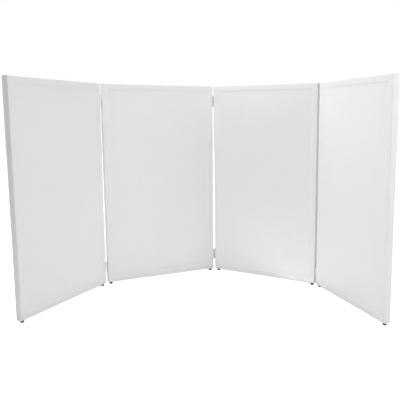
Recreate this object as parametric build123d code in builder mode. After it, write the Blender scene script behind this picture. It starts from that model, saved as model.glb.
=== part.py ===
from build123d import *
import os
from math import cos, radians, sin

# A free-standing folding partition of four fabric-covered panels.
# Each panel is a welded frame of square steel tube with a stretched white scrim over its front,
# two rubber feet, and lift-off pin hinges that join it to its neighbour.
#
# Row frame: +Z up, the floor at Z = 0, +X from the left panel to the right one, and -Y on the side
# that the folded partition opens to. The origin is on the floor, midway across the partition.
#
# Panel frame: x along the panel from its left edge, y from the middle of the tube towards the back,
# z up from the floor.

# Driving dimensions, in millimetres and degrees
PANEL_WIDTH = 715.0       # covered panel, edge to edge
PANEL_HEIGHT = 1200.0     # covered panel, without its feet
HEADINGS = (69.0, 29.0, -29.0, -69.0)   # direction of each panel in plan, at rest

TUBE_SIZE = 32.0          # square tube, outside
TUBE_WALL = 1.5
TUBE_RADIUS = 3.0         # outside corner of the tube

CLOTH = 0.8               # stretch scrim with its coating
HEM_WIDTH = 28.0          # scrim turned in on the back of the tube
HEM_FRONT = 8.0           # width of the turned edge on the front
TAPE_WIDTH = 20.0         # hook tape and loop tape
TAPE_THICKNESS = 1.2      # each tape of the closed fastener
MITRE_GAP = 0.1           # from a mitre line to the cut end of a cloth or tape strip

FOOT_HEIGHT = 14.0        # floor to the underside of the tube
FOOT_INSET = 20.0         # panel edge to the centre of a foot
FOOT_TOP_RADIUS = 12.0
FOOT_BASE_RADIUS = 9.5
FOOT_EDGE_RADIUS = 2.0
FOOT_HOLE_RADIUS = 3.3
FOOT_RECESS_RADIUS = 6.0  # pocket for the screw head, open at the floor
FOOT_RECESS_DEPTH = 5.0
FOOT_OPENING = 13.2       # radius of the hole in the scrim round a foot

SCREW_RADIUS = 3.0        # M6 button-head screw
SCREW_LENGTH = 16.0
SCREW_HEAD_RADIUS = 5.25
SCREW_HEAD_HEIGHT = 3.3
SCREW_SOCKET = 4.0        # hexagon across flats
SCREW_SOCKET_DEPTH = 2.0

NUT_RADIUS = 4.5          # M6 rivet nut in the bottom rail
NUT_LENGTH = 13.0
NUT_FLANGE_RADIUS = 6.0
NUT_FLANGE = 0.8
NUT_CRIMP = 3.0
THREAD_CLEARANCE = 0.05

HALF_GAP = 13.5           # hinge axis to the edge of a covered panel
HINGE_INSET = 96.0        # end of a panel to the middle of a hinge
KNUCKLE_RADIUS = 8.0
KNUCKLE_LENGTH = 33.5
KNUCKLE_EDGE = 1.5        # rounded outer end of a knuckle
NOSE_WIDTH = 9.0          # welded nose of a knuckle, at the tube
PIN_RADIUS = 5.0
PIN_SEAT = 30.0           # length of pin pressed into its knuckle
PIN_REACH = 27.0          # length of pin above its knuckle
PIN_CHAMFER = 1.5
PIN_CLEARANCE = 0.05      # running clearance in the socket, on the radius
SOCKET_DEPTH = 28.0
WASHER_THICKNESS = 1.3
WASHER_GAP = 1.5          # between the two knuckles of a hinge
WINDOW_WIDTH = 13.0       # opening in the scrim round a hinge
WINDOW_MARGIN = 4.0       # opening beyond each end of a hinge

# Worked-out dimensions
FRONT_Y = -(TUBE_SIZE / 2 + CLOTH)
BACK_Y = TUBE_SIZE / 2 + 2 * TAPE_THICKNESS + CLOTH
CORNER_RADIUS = TUBE_RADIUS + CLOTH
PANEL_BASE = FOOT_HEIGHT - CLOTH
HINGE_LENGTH = 2 * KNUCKLE_LENGTH + WASHER_GAP
HINGE_HEIGHTS = (PANEL_BASE + HINGE_INSET, PANEL_BASE + PANEL_HEIGHT - HINGE_INSET)
FOOT_PLACES = (FOOT_INSET, PANEL_WIDTH - FOOT_INSET)
BOTTOM, RIGHT, TOP, LEFT = range(4)
RAIL_NAMES = ("bottom_rail", "right_stile", "top_rail", "left_stile")


def direction(heading):
    """Unit vector of a heading in plan."""
    return Vector(cos(radians(heading)), sin(radians(heading)), 0)


def panel_frames():
    """Panel planes at rest: the middle hinge axis lies on X = 0, and the plan is centred on Y = 0."""
    pitch = PANEL_WIDTH + 2 * HALF_GAP
    middle = len(HEADINGS) // 2
    axis = Vector(0, 0, 0)
    starts = {}
    for index in range(middle, len(HEADINGS)):
        starts[index] = axis
        axis = axis + direction(HEADINGS[index]) * pitch
    axis = Vector(0, 0, 0)
    for index in reversed(range(middle)):
        axis = axis - direction(HEADINGS[index]) * pitch
        starts[index] = axis
    planes = []
    for index, heading in enumerate(HEADINGS):
        along = direction(heading)
        origin = starts[index] + along * HALF_GAP
        planes.append(Plane(origin=origin, x_dir=along, z_dir=(0, 0, 1)))
    reach = [y for plane in planes for y in plan_reach(plane)]
    shift = Vector(0, -(min(reach) + max(reach)) / 2, 0)
    return [Plane(origin=p.origin + shift, x_dir=p.x_dir, z_dir=p.z_dir) for p in planes]


def plan_reach(plane):
    """Y of the rounded corners of a panel's plan, nearest and farthest."""
    inset = CORNER_RADIUS
    corners = [(x, y) for x in (inset, PANEL_WIDTH - inset) for y in (FRONT_Y + inset, BACK_Y - inset)]
    heights = [plane.from_local_coords(Vector(x, y, 0)).Y for x, y in corners]
    return min(heights) - inset, max(heights) + inset


def placed(plane, x=0.0, y=0.0, z=0.0, turn=0.0):
    """A plane at a point of another plane's space, turned about its own normal."""
    return Plane(plane.location * Location((x, y, z), (0, 0, turn)))


def panel_sides(frame):
    """The four sides of the covered panel: x along the side, y to the back, z in towards the panel."""
    low, high = PANEL_BASE, PANEL_BASE + PANEL_HEIGHT
    corners = ((0, low), (PANEL_WIDTH, low), (PANEL_WIDTH, high), (0, high))
    sides = []
    for index, (x, z) in enumerate(corners):
        next_x, next_z = corners[(index + 1) % 4]
        length = abs(next_x - x) + abs(next_z - z)
        start = frame.from_local_coords(Vector(x, 0, z))
        end = frame.from_local_coords(Vector(next_x, 0, next_z))
        along = (end - start).normalized()
        inward = along.cross(frame.y_dir)
        sides.append((Plane(origin=start, x_dir=along, z_dir=inward), length))
    return sides


def finish(piece, name):
    """Label a finished piece and write it."""
    piece.part.label = name
    export_step(piece.part, f"parts/{name}.step")
    print(f"{name}: {piece.part.volume / 1000:.2f} cm3")


# Sections: first axis towards the back of the panel, second axis in from the panel's edge
with BuildSketch() as tube_section:
    with Locations((0, CLOTH + TUBE_SIZE / 2)):
        RectangleRounded(TUBE_SIZE, TUBE_SIZE, TUBE_RADIUS)
        inner = TUBE_SIZE - 2 * TUBE_WALL
        RectangleRounded(inner, inner, TUBE_RADIUS - TUBE_WALL, mode=Mode.SUBTRACT)

with BuildSketch() as hem_section:
    with BuildLine() as hem_line:
        front = FRONT_Y + CLOTH / 2
        back = BACK_Y - CLOTH / 2
        edge = CLOTH / 2
        FilletPolyline(
            (front, HEM_FRONT), (front, edge), (back, edge), (back, HEM_WIDTH),
            radius=CORNER_RADIUS - CLOTH / 2,
        )
    trace(line_width=CLOTH)

tape_margin = CLOTH + (TUBE_SIZE - TAPE_WIDTH) / 2
with BuildSketch() as hook_section:
    with Locations((TUBE_SIZE / 2, tape_margin)):
        Rectangle(TAPE_THICKNESS, TAPE_WIDTH, align=(Align.MIN, Align.MIN))

with BuildSketch() as loop_section:
    with Locations((TUBE_SIZE / 2 + TAPE_THICKNESS, tape_margin)):
        Rectangle(TAPE_THICKNESS, TAPE_WIDTH, align=(Align.MIN, Align.MIN))

# Plan of a knuckle, with its welded nose towards the first axis
with BuildSketch() as knuckle_section:
    with BuildLine():
        reach = HALF_GAP + CLOTH
        CenterArc((0, 0), KNUCKLE_RADIUS, 0, 360)
        Line((reach, -NOSE_WIDTH / 2), (reach, NOSE_WIDTH / 2))
    make_hull()


def mitred_bar(side, length, section, gap=0.0):
    """A bar of constant section along one side of a panel, cut at 45 degrees at both ends."""
    across = Plane(origin=side.origin, x_dir=side.y_dir, z_dir=side.x_dir)
    far = placed(side, x=length)
    start_normal = side.x_dir - side.z_dir
    end_normal = (side.x_dir + side.z_dir) * -1
    with BuildPart() as bar:
        with BuildSketch(across):
            add(section.sketch)
        extrude(amount=length)
        split(bisect_by=Plane(origin=side.origin, z_dir=start_normal).offset(gap), keep=Keep.TOP)
        split(bisect_by=Plane(origin=far.origin, z_dir=end_normal).offset(gap), keep=Keep.TOP)
    return bar.part


def make_frame(frame, panel):
    """Two stiles and two rails; the bottom rail is drilled for the rivet nuts of its feet."""
    for index, (side, length) in enumerate(panel_sides(frame)):
        with BuildPart() as rail:
            add(mitred_bar(side, length, tube_section))
            if index == BOTTOM:
                with BuildSketch(placed(side, z=CLOTH)):
                    with Locations(*[(x, 0) for x in FOOT_PLACES]):
                        Circle(NUT_RADIUS)
                extrude(amount=TUBE_WALL, mode=Mode.SUBTRACT)
        finish(rail, f"{panel}_{RAIL_NAMES[index]}")


def make_scrim(frame, panel):
    """The stretched cloth over the front of the frame, inside its turned edges."""
    with BuildPart() as scrim:
        with BuildSketch(placed(frame, z=PANEL_BASE + HEM_FRONT)):
            with Locations((PANEL_WIDTH / 2, FRONT_Y)):
                Rectangle(PANEL_WIDTH - 2 * HEM_FRONT, CLOTH, align=(Align.CENTER, Align.MIN))
        extrude(amount=PANEL_HEIGHT - 2 * HEM_FRONT)
    finish(scrim, f"{panel}_scrim")


def make_hem(frame, panel, hinged_sides):
    """The edges of the scrim, turned round the tubes, open round the feet and the hinges."""
    with BuildPart() as hem:
        for index, (side, length) in enumerate(panel_sides(frame)):
            add(mitred_bar(side, length, hem_section, MITRE_GAP))
            if index == BOTTOM:
                with BuildSketch(side):
                    with Locations(*[(x, 0) for x in FOOT_PLACES]):
                        Circle(FOOT_OPENING)
                extrude(amount=CLOTH, mode=Mode.SUBTRACT)
            if index in hinged_sides:
                with BuildSketch(side):
                    with Locations((HINGE_INSET, 0), (length - HINGE_INSET, 0)):
                        Rectangle(HINGE_LENGTH + 2 * WINDOW_MARGIN, WINDOW_WIDTH)
                extrude(amount=CLOTH, mode=Mode.SUBTRACT)
    finish(hem, f"{panel}_scrim_hem")


def make_tapes(frame, panel):
    """Hook tape stuck to the back of the frame, and loop tape sewn inside the hem."""
    for name, section in (("hook_tape", hook_section), ("loop_tape", loop_section)):
        with BuildPart() as tape:
            for side, length in panel_sides(frame):
                add(mitred_bar(side, length, section, MITRE_GAP))
        finish(tape, f"{panel}_{name}")


def make_feet(frame, panel):
    """Tapered rubber feet, each held by a button-head screw in a rivet nut."""
    nut_seat = FOOT_HEIGHT - NUT_FLANGE
    with BuildPart() as feet:
        for x in FOOT_PLACES:
            with BuildSketch(placed(frame, x=x)):
                Circle(FOOT_BASE_RADIUS)
            with BuildSketch(placed(frame, x=x, z=FOOT_HEIGHT)):
                Circle(FOOT_TOP_RADIUS)
            loft()
        floor_edges = feet.edges().filter_by(GeomType.CIRCLE).group_by(Axis.Z)[0]
        fillet(floor_edges, FOOT_EDGE_RADIUS)
        for x in FOOT_PLACES:
            with BuildSketch(placed(frame, x=x)):
                Circle(FOOT_HOLE_RADIUS)
            extrude(amount=FOOT_HEIGHT, mode=Mode.SUBTRACT)
            with BuildSketch(placed(frame, x=x)):
                Circle(FOOT_RECESS_RADIUS)
            extrude(amount=FOOT_RECESS_DEPTH, mode=Mode.SUBTRACT)
            with BuildSketch(placed(frame, x=x, z=nut_seat)):
                Circle(NUT_FLANGE_RADIUS)
            extrude(amount=NUT_FLANGE, mode=Mode.SUBTRACT)
    finish(feet, f"{panel}_feet")

    head_base = FOOT_RECESS_DEPTH - SCREW_HEAD_HEIGHT
    with BuildPart() as screws:
        for x in FOOT_PLACES:
            with BuildSketch(placed(frame, x=x, z=head_base)):
                Circle(SCREW_HEAD_RADIUS)
            extrude(amount=SCREW_HEAD_HEIGHT)
            with BuildSketch(placed(frame, x=x, z=FOOT_RECESS_DEPTH)):
                Circle(SCREW_RADIUS)
            extrude(amount=SCREW_LENGTH)
        rim = screws.edges().filter_by(GeomType.CIRCLE).group_by(Axis.Z)[0]
        fillet(rim, SCREW_HEAD_HEIGHT / 2)
        for x in FOOT_PLACES:
            with BuildSketch(placed(frame, x=x, z=head_base)):
                RegularPolygon(SCREW_SOCKET / 2, 6, major_radius=False)
            extrude(amount=SCREW_SOCKET_DEPTH, mode=Mode.SUBTRACT)
    finish(screws, f"{panel}_foot_screws")

    with BuildPart() as nuts:
        for x in FOOT_PLACES:
            with BuildSketch(placed(frame, x=x, z=nut_seat)):
                Circle(NUT_FLANGE_RADIUS)
            extrude(amount=NUT_FLANGE)
            with BuildSketch(placed(frame, x=x, z=FOOT_HEIGHT)):
                Circle(NUT_RADIUS)
            extrude(amount=NUT_LENGTH)
            with BuildSketch(placed(frame, x=x, z=FOOT_HEIGHT + TUBE_WALL)):
                Circle(NUT_FLANGE_RADIUS)
            extrude(amount=NUT_CRIMP)
            with BuildSketch(placed(frame, x=x, z=nut_seat)):
                Circle(SCREW_RADIUS + THREAD_CLEARANCE)
            extrude(amount=NUT_FLANGE + NUT_LENGTH, mode=Mode.SUBTRACT)
    finish(nuts, f"{panel}_rivet_nuts")


def make_pin_half(frame, hinge):
    """Lower half of both hinges on the right stile: knuckles, pressed pins and washers."""
    axis_x = PANEL_WIDTH + HALF_GAP
    with BuildPart() as knuckles:
        for height in HINGE_HEIGHTS:
            with BuildSketch(placed(frame, x=axis_x, z=height - HINGE_LENGTH / 2, turn=180)):
                add(knuckle_section.sketch)
            extrude(amount=KNUCKLE_LENGTH)
            low_rim = knuckles.edges().filter_by(GeomType.CIRCLE).filter_by_position(
                Axis.Z, height - HINGE_LENGTH / 2 - 1, height - HINGE_LENGTH / 2 + 1
            )
            chamfer(low_rim, KNUCKLE_EDGE)
            with BuildSketch(placed(frame, x=axis_x, z=height - WASHER_GAP / 2 - PIN_SEAT)):
                Circle(PIN_RADIUS)
            extrude(amount=PIN_SEAT, mode=Mode.SUBTRACT)
    finish(knuckles, f"{hinge}_pin_knuckles")

    with BuildPart() as pins:
        for height in HINGE_HEIGHTS:
            with BuildSketch(placed(frame, x=axis_x, z=height - WASHER_GAP / 2 - PIN_SEAT)):
                Circle(PIN_RADIUS)
            extrude(amount=PIN_SEAT + PIN_REACH)
            tip_height = height - WASHER_GAP / 2 + PIN_REACH
            tip = pins.edges().filter_by(GeomType.CIRCLE).filter_by_position(
                Axis.Z, tip_height - 1, tip_height + 1
            )
            chamfer(tip, PIN_CHAMFER)
    finish(pins, f"{hinge}_pins")

    with BuildPart() as washers:
        for height in HINGE_HEIGHTS:
            with BuildSketch(placed(frame, x=axis_x, z=height - WASHER_GAP / 2)):
                Circle(KNUCKLE_RADIUS)
                Circle(PIN_RADIUS + PIN_CLEARANCE, mode=Mode.SUBTRACT)
            extrude(amount=WASHER_THICKNESS)
    finish(washers, f"{hinge}_washers")


def make_socket_half(frame, hinge):
    """Upper half of both hinges on the left stile, which lifts off the pins."""
    with BuildPart() as knuckles:
        for height in HINGE_HEIGHTS:
            with BuildSketch(placed(frame, x=-HALF_GAP, z=height + WASHER_GAP / 2)):
                add(knuckle_section.sketch)
            extrude(amount=KNUCKLE_LENGTH)
            top_rim = knuckles.edges().filter_by(GeomType.CIRCLE).filter_by_position(
                Axis.Z, height + HINGE_LENGTH / 2 - 1, height + HINGE_LENGTH / 2 + 1
            )
            chamfer(top_rim, KNUCKLE_EDGE)
            with BuildSketch(placed(frame, x=-HALF_GAP, z=height + WASHER_GAP / 2)):
                Circle(PIN_RADIUS + PIN_CLEARANCE)
            extrude(amount=SOCKET_DEPTH, mode=Mode.SUBTRACT)
    finish(knuckles, f"{hinge}_socket_knuckles")


def make_panel(number, frame):
    """One covered panel with its feet and its halves of the hinges beside it."""
    panel = f"panel_{number}"
    has_left = number > 1
    has_right = number < len(HEADINGS)
    hinged_sides = [LEFT] * has_left + [RIGHT] * has_right
    make_frame(frame, panel)
    make_scrim(frame, panel)
    make_hem(frame, panel, hinged_sides)
    make_tapes(frame, panel)
    make_feet(frame, panel)
    if has_right:
        make_pin_half(frame, f"hinge_{number}")
    if has_left:
        make_socket_half(frame, f"hinge_{number - 1}")


os.makedirs("parts", exist_ok=True)
for panel_number, panel_frame in enumerate(panel_frames(), start=1):
    make_panel(panel_number, panel_frame)
    print(f"panel_{panel_number}: origin {panel_frame.origin}, heading {panel_frame.x_dir}")
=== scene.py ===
"""Looks of a free-standing folding partition: four stretch-scrim panels joined by pin hinges.

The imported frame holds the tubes, feet, tapes, fasteners and hinges at their real size. This script
dresses them, replaces the plain cloth and feet with finished ones, adds the stitching and the weld
beads, and sets up the studio.
"""

import logging
import math
from collections.abc import Callable
from dataclasses import dataclass
from enum import Enum
from typing import ClassVar

import bmesh
import bpy
from mathutils import Matrix, Vector, noise


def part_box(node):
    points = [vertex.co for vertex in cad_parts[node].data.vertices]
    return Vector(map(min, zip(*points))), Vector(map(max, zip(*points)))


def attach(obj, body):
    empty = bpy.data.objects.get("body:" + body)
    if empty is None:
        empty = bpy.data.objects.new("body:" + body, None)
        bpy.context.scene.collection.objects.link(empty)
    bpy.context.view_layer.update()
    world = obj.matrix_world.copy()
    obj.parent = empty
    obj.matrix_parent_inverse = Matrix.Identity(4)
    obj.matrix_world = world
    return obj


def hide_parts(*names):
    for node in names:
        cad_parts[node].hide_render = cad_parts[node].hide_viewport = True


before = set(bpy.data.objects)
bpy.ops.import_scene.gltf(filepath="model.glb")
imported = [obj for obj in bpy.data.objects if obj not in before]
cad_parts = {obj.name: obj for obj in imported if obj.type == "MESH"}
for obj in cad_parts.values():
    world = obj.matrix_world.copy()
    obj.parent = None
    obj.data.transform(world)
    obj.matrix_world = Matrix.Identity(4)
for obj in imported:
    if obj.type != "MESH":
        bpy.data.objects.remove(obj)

MM = 0.001
WAVE_PERIOD = math.tau / 20     # period of a wave texture at a scale of 1, in metres
WELD_DISTANCE = 1e-6            # vertices closer than this are one
NodeValue = bpy.types.NodeSocket | float | int | bool | str | tuple | bpy.types.Material
# Adds a vertex at x and y of the panel and z above its lower edge, with the cloth's turn there
VertexMaker = Callable[[float, float, float, float], bmesh.types.BMVert]

log = logging.getLogger("partition")


# --------------------------------------------------------------------------------------------------
# Small shared tools
# --------------------------------------------------------------------------------------------------


def linear(code: str) -> tuple[float, float, float, float]:
    """Turn an sRGB hex colour such as "#EDEDEC" into linear RGBA.

    Args:
        code: the colour, with its leading hash.

    Returns:
        Linear red, green and blue, and an alpha of 1.
    """
    channels = [int(code[start:start + 2], 16) / 255 for start in (1, 3, 5)]
    curve = [c / 12.92 if c <= 0.04045 else ((c + 0.055) / 1.055) ** 2.4 for c in channels]
    return curve[0], curve[1], curve[2], 1.0


def add_node(
    tree: bpy.types.NodeTree,
    kind: str,
    inputs: dict[str | int, NodeValue] | None = None,
    **settings: object,
) -> bpy.types.Node:
    """Add one node with its settings, its plain values and its links.

    Args:
        tree: the shader or geometry tree.
        kind: the node's type name.
        inputs: for each input's name or index, a value, or the socket to link to it.
        settings: the node's own properties.

    Returns:
        The new node.
    """
    node = tree.nodes.new(kind)
    for name, value in settings.items():
        setattr(node, name, value)
    for key, value in (inputs or {}).items():
        if isinstance(value, bpy.types.NodeSocket):
            tree.links.new(value, node.inputs[key])
        else:
            node.inputs[key].default_value = value
    return node


def smooth_step(value: float) -> float:
    """Ease from 0 to 1 as the value goes from 0 to 1."""
    t = min(1.0, max(0.0, value))
    return t * t * (3 - 2 * t)


def new_object(name: str, mesh: bpy.types.Mesh) -> bpy.types.Object:
    """Link a mesh into the scene as an object at the origin.

    Args:
        name: name of the object.
        mesh: its mesh.

    Returns:
        The new object.
    """
    piece = bpy.data.objects.new(name, mesh)
    bpy.context.scene.collection.objects.link(piece)
    return piece


def object_from(name: str, draft: bmesh.types.BMesh) -> bpy.types.Object:
    """Turn a draft mesh into an object at the origin, and free the draft.

    Args:
        name: name of the object and its mesh.
        draft: the draft mesh.

    Returns:
        The new object.
    """
    mesh = bpy.data.meshes.new(name)
    draft.to_mesh(mesh)
    draft.free()
    return new_object(name, mesh)


def finished_mesh(draft: bpy.types.Object, name: str) -> bpy.types.Object:
    """Turn a draft object and its modifiers into a plain object, and remove the draft.

    Args:
        draft: the object whose modifiers are evaluated.
        name: name of the finished piece.

    Returns:
        A new object at the origin with the evaluated mesh and no modifiers.
    """
    graph = bpy.context.evaluated_depsgraph_get()
    mesh = bpy.data.meshes.new_from_object(draft.evaluated_get(graph))
    mesh.name = name
    bpy.data.objects.remove(draft)
    return new_object(name, mesh)


def dress(piece: bpy.types.Object, finish: "Finish") -> None:
    """Give every face of a piece one finish."""
    piece.data.materials.clear()
    piece.data.materials.append(finish.material())


# --------------------------------------------------------------------------------------------------
# Finishes
# --------------------------------------------------------------------------------------------------


@dataclass(frozen=True)
class Finish:
    """A surface finish. Each kind fills in its own node tree.

    Attributes:
        title: name of the material, after what it is and how it was made.
    """

    title: str

    def material(self) -> bpy.types.Material:
        """Return this finish's material, making it the first time.

        Returns:
            The material, shared by every piece with this finish.
        """
        found = bpy.data.materials.get(self.title)
        if found is not None:
            return found
        made = bpy.data.materials.new(self.title)
        made.use_nodes = True
        tree = made.node_tree
        tree.nodes.clear()
        surface = self.surface(tree)
        add_node(tree, "ShaderNodeOutputMaterial", {"Surface": surface})
        return made

    def surface(self, tree: bpy.types.NodeTree) -> bpy.types.NodeSocket:
        """Build the nodes and return the shader socket.

        Args:
            tree: the material's node tree, still empty.

        Returns:
            The shader.
        """
        raise NotImplementedError


@dataclass(frozen=True, kw_only=True)
class StretchScrim(Finish):
    """Warp-knitted stretch polyester, heat-set white: matt, soft-edged and a little see-through.

    The knit is far finer than it can show, so its wales and courses are drawn several times too
    coarse. Slow streaks along the wales are the uneven tension of the stretched cloth. Where it
    lies on a white tube less light is lost through it.

    Attributes:
        width: covered panel, edge to edge.
        height: covered panel, from its lower to its upper edge.
        tube_edge: distance from the panel's edge to where the cloth leaves the tube.
        settle: width over which it leaves the tube.
    """

    width: float
    height: float
    tube_edge: float
    settle: float
    title: str = "stretch_polyester_knit"
    lit: str = "#F2F2F2"
    shaded: str = "#F0F0F0"
    scuffed: str = "#DDDCDA"
    glow: str = "#F3F4F5"
    see_through: float = 0.15
    over_tube: float = 0.11      # the same, where a white tube stands behind it
    wale: float = 2.4 * MM       # 0.5 mm on the real cloth, drawn about five times coarser
    course: float = 1.8 * MM     # 0.4 mm on the real cloth, drawn about five times coarser
    knit_depth: float = 0.25 * MM
    streak_width: float = 9 * MM
    streak_length: float = 420 * MM
    scuff_size: float = 35 * MM
    scuff_height: float = 70 * MM
    scuffing: float = 0.5        # at the floor, from 0 to 1
    smoothest: float = 0.80
    roughest: float = 0.92

    def surface(self, tree: bpy.types.NodeTree) -> bpy.types.NodeSocket:
        """Knit relief, tension streaks and scuffs over a mix of matt and translucent cloth.

        Args:
            tree: the material's node tree, still empty.

        Returns:
            The shader.
        """
        weave = add_node(tree, "ShaderNodeUVMap", uv_map=ScrimCover.UV_NAME).outputs["UV"]
        relief = self.knit(tree, weave)
        spot = add_node(tree, "ShaderNodeSeparateXYZ", {"Vector": weave})
        near_floor = add_node(
            tree, "ShaderNodeMapRange",
            {
                "Value": spot.outputs["Y"], "From Min": self.scuff_height, "From Max": 0.0,
                "To Max": self.scuffing,
            },
        )
        marks = add_node(
            tree, "ShaderNodeTexNoise",
            {"Vector": weave, "Scale": 1 / self.scuff_size, "Detail": 6.0, "Roughness": 0.7},
        )
        worn = add_node(
            tree, "ShaderNodeMath",
            {0: marks.outputs["Fac"], 1: near_floor.outputs["Result"]}, operation="MULTIPLY",
        )
        colour = add_node(
            tree, "ShaderNodeMix",
            {0: worn.outputs[0], 6: self.tension(tree, weave), 7: linear(self.scuffed)},
            data_type="RGBA",
        )
        dullness = add_node(
            tree, "ShaderNodeMapRange",
            {"Value": marks.outputs["Fac"], "To Min": self.smoothest, "To Max": self.roughest},
        )
        cloth = add_node(
            tree, "ShaderNodeBsdfPrincipled",
            {
                "Base Color": colour.outputs[2], "Roughness": dullness.outputs["Result"],
                "Normal": relief, "Specular IOR Level": 0.2,
                "Sheen Weight": 0.1, "Sheen Roughness": 0.4,
            },
        )
        glow = add_node(
            tree, "ShaderNodeBsdfTranslucent", {"Color": linear(self.glow), "Normal": relief}
        )
        mixed = add_node(
            tree, "ShaderNodeMixShader",
            {0: self.clearness(tree, spot), 1: cloth.outputs["BSDF"], 2: glow.outputs["BSDF"]},
        )
        return mixed.outputs["Shader"]

    def knit(self, tree: bpy.types.NodeTree, weave: bpy.types.NodeSocket) -> bpy.types.NodeSocket:
        """Relief of the knit: a small bump where a wale crosses a course.

        Args:
            tree: the shader tree.
            weave: place on the flat cloth.

        Returns:
            The normal.
        """
        waves = [
            add_node(
                tree, "ShaderNodeTexWave", {"Vector": weave, "Scale": WAVE_PERIOD / spacing},
                bands_direction=direction,
            ).outputs["Fac"]
            for direction, spacing in (("X", self.wale), ("Y", self.course))
        ]
        loops = add_node(
            tree, "ShaderNodeMath", {0: waves[0], 1: waves[1]}, operation="MULTIPLY"
        )
        relief = add_node(
            tree, "ShaderNodeBump",
            {"Height": loops.outputs[0], "Distance": self.knit_depth, "Strength": 0.9},
        )
        return relief.outputs["Normal"]

    def tension(
        self, tree: bpy.types.NodeTree, weave: bpy.types.NodeSocket
    ) -> bpy.types.NodeSocket:
        """Colour of the clean cloth, with streaks along its wales.

        Args:
            tree: the shader tree.
            weave: place on the flat cloth.

        Returns:
            The colour.
        """
        stretched = add_node(
            tree, "ShaderNodeMapping",
            {"Vector": weave, "Scale": (1 / self.streak_width, 1 / self.streak_length, 1.0)},
        )
        streaks = add_node(
            tree, "ShaderNodeTexNoise",
            {"Vector": stretched.outputs["Vector"], "Scale": 1.0, "Detail": 3.0},
        )
        streak = add_node(
            tree, "ShaderNodeMapRange",
            {"Value": streaks.outputs["Fac"], "From Min": 0.25, "From Max": 0.75},
        )
        colour = add_node(
            tree, "ShaderNodeMix",
            {0: streak.outputs["Result"], 6: linear(self.lit), 7: linear(self.shaded)},
            data_type="RGBA",
        )
        return colour.outputs[2]

    def clearness(self, tree: bpy.types.NodeTree, spot: bpy.types.Node) -> bpy.types.NodeSocket:
        """How much light goes through: less over the tubes than through the free cloth.

        Args:
            tree: the shader tree.
            spot: the node that splits the place on the flat cloth into X and Y.

        Returns:
            The share that goes through.
        """
        shares = []
        for axis, length in (("X", self.width), ("Y", self.height)):
            offset = add_node(
                tree, "ShaderNodeMath", {0: spot.outputs[axis], 1: length / 2},
                operation="SUBTRACT",
            )
            away = add_node(tree, "ShaderNodeMath", {0: offset.outputs[0]}, operation="ABSOLUTE")
            reach = length / 2 - self.tube_edge
            inside = add_node(
                tree, "ShaderNodeMapRange",
                {"Value": away.outputs[0], "From Min": reach, "From Max": reach - self.settle},
            )
            shares.append(inside.outputs["Result"])
        free = add_node(
            tree, "ShaderNodeMath", {0: shares[0], 1: shares[1]}, operation="MULTIPLY"
        )
        share = add_node(
            tree, "ShaderNodeMapRange",
            {"Value": free.outputs[0], "To Min": self.over_tube, "To Max": self.see_through},
        )
        return share.outputs["Result"]


@dataclass(frozen=True)
class PowderCoat(Finish):
    """White polyester powder coat, baked on steel: semi-gloss, with a fine orange-peel skin."""

    title: str = "white_powder_coated_steel"
    coat: str = "#EDEDEB"
    thin: str = "#E0E0DD"
    peel: float = 1.6 * MM       # 0.8 mm on the real coat, drawn twice as coarse
    peel_depth: float = 0.03 * MM
    cloud: float = 60 * MM
    smoothest: float = 0.32
    roughest: float = 0.46

    def surface(self, tree: bpy.types.NodeTree) -> bpy.types.NodeSocket:
        """Orange-peel relief and slow changes of coat thickness.

        Args:
            tree: the material's node tree, still empty.

        Returns:
            The shader.
        """
        place = add_node(tree, "ShaderNodeTexCoord").outputs["Object"]
        skin = add_node(
            tree, "ShaderNodeTexNoise", {"Vector": place, "Scale": 1 / self.peel, "Detail": 1.0}
        )
        relief = add_node(
            tree, "ShaderNodeBump",
            {"Height": skin.outputs["Fac"], "Distance": self.peel_depth, "Strength": 0.6},
        )
        cloud = add_node(
            tree, "ShaderNodeTexNoise", {"Vector": place, "Scale": 1 / self.cloud, "Detail": 4.0}
        )
        colour = add_node(
            tree, "ShaderNodeMix",
            {0: cloud.outputs["Fac"], 6: linear(self.coat), 7: linear(self.thin)},
            data_type="RGBA",
        )
        gloss = add_node(
            tree, "ShaderNodeMapRange",
            {"Value": cloud.outputs["Fac"], "To Min": self.smoothest, "To Max": self.roughest},
        )
        coat = add_node(
            tree, "ShaderNodeBsdfPrincipled",
            {
                "Base Color": colour.outputs[2], "Roughness": gloss.outputs["Result"],
                "Normal": relief.outputs["Normal"], "IOR": 1.5,
            },
        )
        return coat.outputs["BSDF"]


@dataclass(frozen=True)
class NylonTape(Finish):
    """Woven nylon hook-and-loop tape: a matt pile of stiff little hooks, or of soft loops."""

    title: str = "woven_nylon_tape"
    ground_painted_shade: str = "#E3E2DD"
    # painted shade: the ground is darker than the tips where shade falls between the hooks or loops
    tip: str = "#F2F1EC"
    pitch: float = 1.6 * MM      # spacing of the hooks or loops
    depth: float = 0.4 * MM

    def surface(self, tree: bpy.types.NodeTree) -> bpy.types.NodeSocket:
        """Bright tips, with painted shade darkening the woven ground between them.

        Args:
            tree: the material's node tree, still empty.

        Returns:
            The shader.
        """
        place = add_node(tree, "ShaderNodeTexCoord").outputs["Object"]
        pile = add_node(
            tree, "ShaderNodeTexVoronoi",
            {"Vector": place, "Scale": 1 / self.pitch, "Randomness": 0.6},
        )
        relief = add_node(
            tree, "ShaderNodeBump",
            {"Height": pile.outputs["Distance"], "Distance": self.depth, "Strength": 0.8},
            invert=True,
        )
        colour = add_node(
            tree, "ShaderNodeMix",
            {0: pile.outputs["Distance"], 6: linear(self.tip), 7: linear(self.ground_painted_shade)},
            data_type="RGBA",
        )
        tape = add_node(
            tree, "ShaderNodeBsdfPrincipled",
            {
                "Base Color": colour.outputs[2], "Roughness": 0.75,
                "Normal": relief.outputs["Normal"], "Sheen Weight": 0.2,
            },
        )
        return tape.outputs["BSDF"]


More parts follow.
